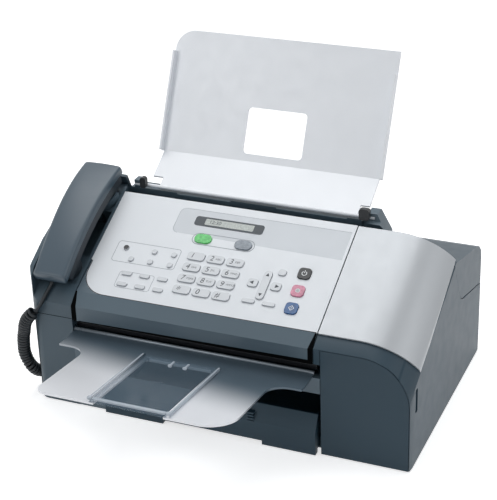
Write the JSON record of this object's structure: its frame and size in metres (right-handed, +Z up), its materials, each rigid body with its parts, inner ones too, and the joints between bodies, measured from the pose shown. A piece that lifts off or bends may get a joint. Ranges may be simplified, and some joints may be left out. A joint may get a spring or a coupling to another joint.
{
  "type": "fax machine with handset",
  "caption": "Desktop inkjet fax machine with side handset on a curly cord, hinged control panel, folding document support and tray, paper cassette, and an ink bay door.",
  "frame": {"origin": "on the floor, under the middle of the overall outline", "axes": "+X right as seen from the front, +Y back, +Z up"},
  "size_m": [0.3966, 0.358, 0.3078],
  "materials": {
    "body_dark": "dark blue-grey ABS, fine spark texture",
    "body_grey": "blue-grey ABS, satin",
    "handset_plastic": "slate ABS, satin",
    "silver_plastic": "silver sprayed ABS, satin metallic",
    "panel_silver": "pale silver sprayed face, satin",
    "black_plastic": "black ABS",
    "clear_plastic": "clear polycarbonate",
    "support_grey": "smoky translucent grey plastic",
    "soft_rubber": "matt rubber",
    "cord_black": "flexible PVC jacket",
    "steel_rod": "ground steel rod",
    "circuit_board": "circuit board laminate",
    "green_key": "translucent green, lit",
    "copy_key_grey": "translucent grey",
    "stop_key_pink": "satin pink",
    "start_key_blue": "satin blue",
    "key_white": "satin pale silver",
    "scanner_glass": "float glass strip",
    "display_glass": "liquid crystal window"
  },
  "bodies": {
    "casing": {"base_pan": "body_dark", "left_housing": "body_dark", "right_housing": "body_dark", "rear_housing": "body_grey", "column_cover": "silver_plastic", "front_beam": "body_grey", "feet": "soft_rubber", "scan_bed": "black_plastic", "scan_glass": "scanner_glass", "guide_rod": "steel_rod", "main_board": "circuit_board", "jack_block": "black_plastic", "ink_cartridges": "black_plastic", "cord_lead": "cord_black", "cord_coil": "cord_black", "cord_tail": "cord_black", "cord_plug": "clear_plastic"},
    "panel": {"panel_frame": "body_grey", "panel_face": "panel_silver", "key_board": "circuit_board", "display_window": "display_glass"},
    "handset": {"handset_shell": "handset_plastic", "handset_base": "handset_plastic"},
    "hook": {"hook_switch": "black_plastic"},
    "tray": {"document_tray": "silver_plastic"},
    "extension": {"tray_extension": "clear_plastic"},
    "support": {"document_support": "support_grey"},
    "guide_l": {"guide_left": "black_plastic"},
    "guide_r": {"guide_right": "black_plastic"},
    "door": {"ink_door": "body_dark"},
    "cassette": {"paper_cassette": "body_dark"},
    "carriage": {"print_carriage": "black_plastic"},
    "pick": {"pick_roller": "soft_rubber"},
    "feed": {"feed_roller": "soft_rubber"},
    "key_1_cap": {"key_1": "key_white"},
    "key_2_cap": {"key_2": "key_white"},
    "key_3_cap": {"key_3": "key_white"},
    "key_4_cap": {"key_4": "key_white"},
    "key_5_cap": {"key_5": "key_white"},
    "key_6_cap": {"key_6": "key_white"},
    "key_7_cap": {"key_7": "key_white"},
    "key_8_cap": {"key_8": "key_white"},
    "key_9_cap": {"key_9": "key_white"},
    "key_star_cap": {"key_star": "key_white"},
    "key_0_cap": {"key_0": "key_white"},
    "key_hash_cap": {"key_hash": "key_white"},
    "round_keys_body": {"round_keys": "key_white"},
    "one_touch_upper_body": {"one_touch_upper": "key_white"},
    "one_touch_lower_body": {"one_touch_lower": "key_white"},
    "fax_key_cap": {"fax_key": "green_key"},
    "copy_key_cap": {"copy_key": "copy_key_grey"},
    "menu_key_cap": {"menu_key": "key_white"},
    "nav_left_cap": {"nav_left": "key_white"},
    "nav_right_cap": {"nav_right": "key_white"},
    "clear_key_cap": {"clear_key": "key_white"},
    "ok_key_cap": {"ok_key": "key_white"},
    "power_key_cap": {"power_key": "black_plastic"},
    "stop_key_cap": {"stop_key": "stop_key_pink"},
    "start_key_cap": {"start_key": "start_key_blue"},
    "nav_rocker_cap": {"nav_rocker": "key_white"}
  },
  "joints": [
    {"name": "panel_hinge", "type": "hinge", "parent": "casing", "child": "panel", "pos_m": [0, 0.06939, 0.1684], "axis": [-1, 0, 0], "range_deg": [0, 40]},
    {"name": "handset_lift", "type": "slide", "parent": "casing", "child": "handset", "axis": [0, -0.4431, 0.8965], "range_m": [0, 0.12]},
    {"name": "hook_plunger", "type": "slide", "parent": "casing", "child": "hook", "axis": [0, 0.4431, -0.8965], "range_m": [0, 0.002], "stiffness_N_per_m": 120},
    {"name": "tray_fold", "type": "hinge", "parent": "casing", "child": "tray", "pos_m": [0, -0.0462, 0.085], "axis": [-1, 0, 0], "range_deg": [0, 60]},
    {"name": "extension_slide", "type": "slide", "parent": "tray", "child": "extension", "axis": [0, -0.9914, 0.1309], "range_m": [0, 0.06]},
    {"name": "support_fold", "type": "hinge", "parent": "casing", "child": "support", "pos_m": [0, 0.08428, 0.177], "axis": [1, 0, 0], "range_deg": [0, 60]},
    {"name": "guide_left_slide", "type": "slide", "parent": "casing", "child": "guide_l", "axis": [1, 0, 0], "range_m": [0, 0.03]},
    {"name": "guide_right_slide", "type": "slide", "parent": "casing", "child": "guide_r", "axis": [-1, 0, 0], "range_m": [0, 0.03]},
    {"name": "ink_door_hinge", "type": "hinge", "parent": "casing", "child": "door", "pos_m": [0, -0.0456, 0.0155], "axis": [1, 0, 0], "range_deg": [0, 85]},
    {"name": "cassette_slide", "type": "slide", "parent": "casing", "child": "cassette", "axis": [0, -1, 0], "range_m": [0, 0.16]},
    {"name": "carriage_slide", "type": "slide", "parent": "casing", "child": "carriage", "axis": [-1, 0, 0], "range_m": [0, 0.17]},
    {"name": "pick_roller_spin", "type": "hinge", "parent": "casing", "child": "pick", "pos_m": [0, 0.119, 0.052], "axis": [1, 0, 0], "continuous": true},
    {"name": "feed_roller_spin", "type": "hinge", "parent": "casing", "child": "feed", "pos_m": [0, 0.0524, 0.14049], "axis": [1, 0, 0], "continuous": true},
    {"name": "key_1_press", "type": "slide", "parent": "panel", "child": "key_1_cap", "axis": [0, 0.4431, -0.8965], "range_m": [0, 0.0012], "stiffness_N_per_m": 250},
    {"name": "key_2_press", "type": "slide", "parent": "panel", "child": "key_2_cap", "axis": [0, 0.4431, -0.8965], "range_m": [0, 0.0012], "stiffness_N_per_m": 250},
    {"name": "key_3_press", "type": "slide", "parent": "panel", "child": "key_3_cap", "axis": [0, 0.4431, -0.8965], "range_m": [0, 0.0012], "stiffness_N_per_m": 250},
    {"name": "key_4_press", "type": "slide", "parent": "panel", "child": "key_4_cap", "axis": [0, 0.4431, -0.8965], "range_m": [0, 0.0012], "stiffness_N_per_m": 250},
    {"name": "key_5_press", "type": "slide", "parent": "panel", "child": "key_5_cap", "axis": [0, 0.4431, -0.8965], "range_m": [0, 0.0012], "stiffness_N_per_m": 250},
    {"name": "key_6_press", "type": "slide", "parent": "panel", "child": "key_6_cap", "axis": [0, 0.4431, -0.8965], "range_m": [0, 0.0012], "stiffness_N_per_m": 250},
    {"name": "key_7_press", "type": "slide", "parent": "panel", "child": "key_7_cap", "axis": [0, 0.4431, -0.8965], "range_m": [0, 0.0012], "stiffness_N_per_m": 250},
    {"name": "key_8_press", "type": "slide", "parent": "panel", "child": "key_8_cap", "axis": [0, 0.4431, -0.8965], "range_m": [0, 0.0012], "stiffness_N_per_m": 250},
    {"name": "key_9_press", "type": "slide", "parent": "panel", "child": "key_9_cap", "axis": [0, 0.4431, -0.8965], "range_m": [0, 0.0012], "stiffness_N_per_m": 250},
    {"name": "key_star_press", "type": "slide", "parent": "panel", "child": "key_star_cap", "axis": [0, 0.4431, -0.8965], "range_m": [0, 0.0012], "stiffness_N_per_m": 250},
    {"name": "key_0_press", "type": "slide", "parent": "panel", "child": "key_0_cap", "axis": [0, 0.4431, -0.8965], "range_m": [0, 0.0012], "stiffness_N_per_m": 250},
    {"name": "key_hash_press", "type": "slide", "parent": "panel", "child": "key_hash_cap", "axis": [0, 0.4431, -0.8965], "range_m": [0, 0.0012], "stiffness_N_per_m": 250},
    {"name": "round_keys_press", "type": "slide", "parent": "panel", "child": "round_keys_body", "axis": [0, 0.4431, -0.8965], "range_m": [0, 0.0012], "stiffness_N_per_m": 250},
    {"name": "one_touch_upper_press", "type": "slide", "parent": "panel", "child": "one_touch_upper_body", "axis": [0, 0.4431, -0.8965], "range_m": [0, 0.0012], "stiffness_N_per_m": 250},
    {"name": "one_touch_lower_press", "type": "slide", "parent": "panel", "child": "one_touch_lower_body", "axis": [0, 0.4431, -0.8965], "range_m": [0, 0.0012], "stiffness_N_per_m": 250},
    {"name": "fax_key_press", "type": "slide", "parent": "panel", "child": "fax_key_cap", "axis": [0, 0.4431, -0.8965], "range_m": [0, 0.0012], "stiffness_N_per_m": 250},
    {"name": "copy_key_press", "type": "slide", "parent": "panel", "child": "copy_key_cap", "axis": [0, 0.4431, -0.8965], "range_m": [0, 0.0012], "stiffness_N_per_m": 250},
    {"name": "menu_key_press", "type": "slide", "parent": "panel", "child": "menu_key_cap", "axis": [0, 0.4431, -0.8965], "range_m": [0, 0.0012], "stiffness_N_per_m": 250},
    {"name": "nav_left_press", "type": "slide", "parent": "panel", "child": "nav_left_cap", "axis": [0, 0.4431, -0.8965], "range_m": [0, 0.0012], "stiffness_N_per_m": 250},
    {"name": "nav_right_press", "type": "slide", "parent": "panel", "child": "nav_right_cap", "axis": [0, 0.4431, -0.8965], "range_m": [0, 0.0012], "stiffness_N_per_m": 250},
    {"name": "clear_key_press", "type": "slide", "parent": "panel", "child": "clear_key_cap", "axis": [0, 0.4431, -0.8965], "range_m": [0, 0.0012], "stiffness_N_per_m": 250},
    {"name": "ok_key_press", "type": "slide", "parent": "panel", "child": "ok_key_cap", "axis": [0, 0.4431, -0.8965], "range_m": [0, 0.0012], "stiffness_N_per_m": 250},
    {"name": "power_key_press", "type": "slide", "parent": "panel", "child": "power_key_cap", "axis": [0, 0.4431, -0.8965], "range_m": [0, 0.0012], "stiffness_N_per_m": 250},
    {"name": "stop_key_press", "type": "slide", "parent": "panel", "child": "stop_key_cap", "axis": [0, 0.4431, -0.8965], "range_m": [0, 0.0012], "stiffness_N_per_m": 250},
    {"name": "start_key_press", "type": "slide", "parent": "panel", "child": "start_key_cap", "axis": [0, 0.4431, -0.8965], "range_m": [0, 0.0012], "stiffness_N_per_m": 250},
    {"name": "nav_rocker_tilt", "type": "hinge", "parent": "panel", "child": "nav_rocker_cap", "pos_m": [0.0334, -0.00179, 0.13367], "axis": [1, 0, 0], "range_deg": [-2, 2], "stiffness_Nm_per_rad": 0.05}
  ],
  "couplings": [
    {"joint": "guide_right_slide", "follows": "guide_left_slide", "ratio": 1}
  ]
}
